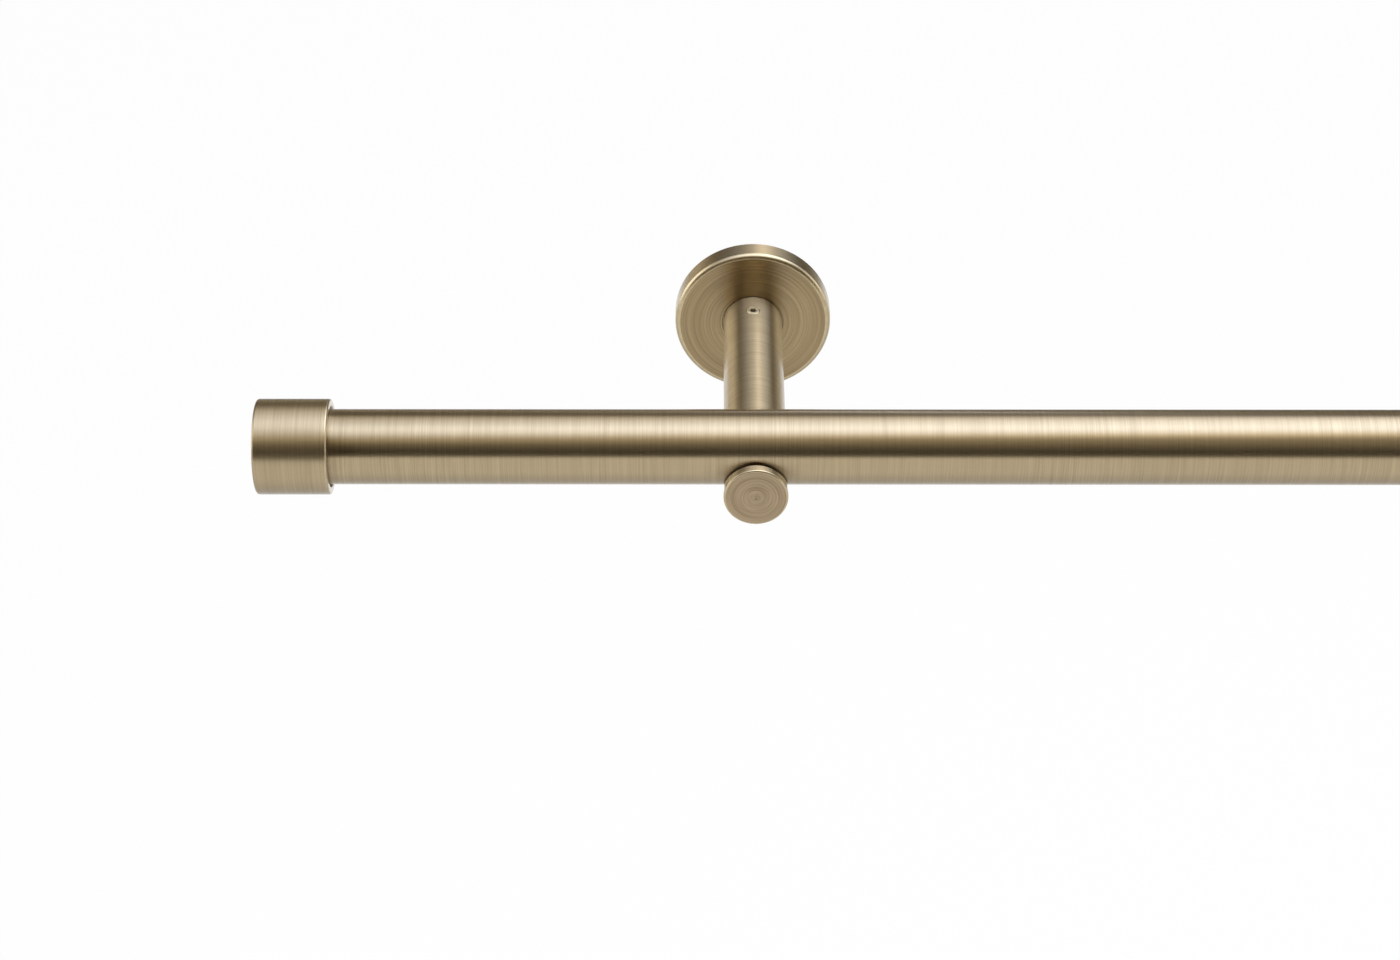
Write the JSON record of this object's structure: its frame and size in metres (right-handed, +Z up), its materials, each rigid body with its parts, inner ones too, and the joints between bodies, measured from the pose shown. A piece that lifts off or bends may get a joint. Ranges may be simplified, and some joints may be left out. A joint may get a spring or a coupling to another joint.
{
  "type": "metal curtain rod",
  "caption": "Round brushed-brass curtain rod with turned end caps, lying in saddle-notched round posts that stand out from wall rosettes.",
  "frame": {"origin": "on the wall plane, midway between the brackets, at the height of the bracket posts' axes", "axes": "+X along the rod to the right as seen from the room, +Y into the wall, +Z up"},
  "size_m": [0.8, 0.1344, 0.062],
  "materials": {
    "antique_brass": "brushed antique brass",
    "zinc_steel": "bright zinc",
    "plated_brass": "bright brass plate"
  },
  "bodies": {
    "root": {"rod_tube": "antique_brass", "left_end_cap": "antique_brass", "left_end_cap_set_screw": "plated_brass", "left_bracket_post": "antique_brass", "left_post_set_screw": "plated_brass", "left_rod_set_screw": "plated_brass", "left_rosette": "antique_brass", "left_wall_plate": "zinc_steel", "left_hub": "zinc_steel", "left_hub_screw": "zinc_steel", "right_end_cap": "antique_brass", "right_end_cap_set_screw": "plated_brass", "right_bracket_post": "antique_brass", "right_post_set_screw": "plated_brass", "right_rod_set_screw": "plated_brass", "right_rosette": "antique_brass", "right_wall_plate": "zinc_steel", "right_hub": "zinc_steel", "right_hub_screw": "zinc_steel"}
  },
  "joints": []
}
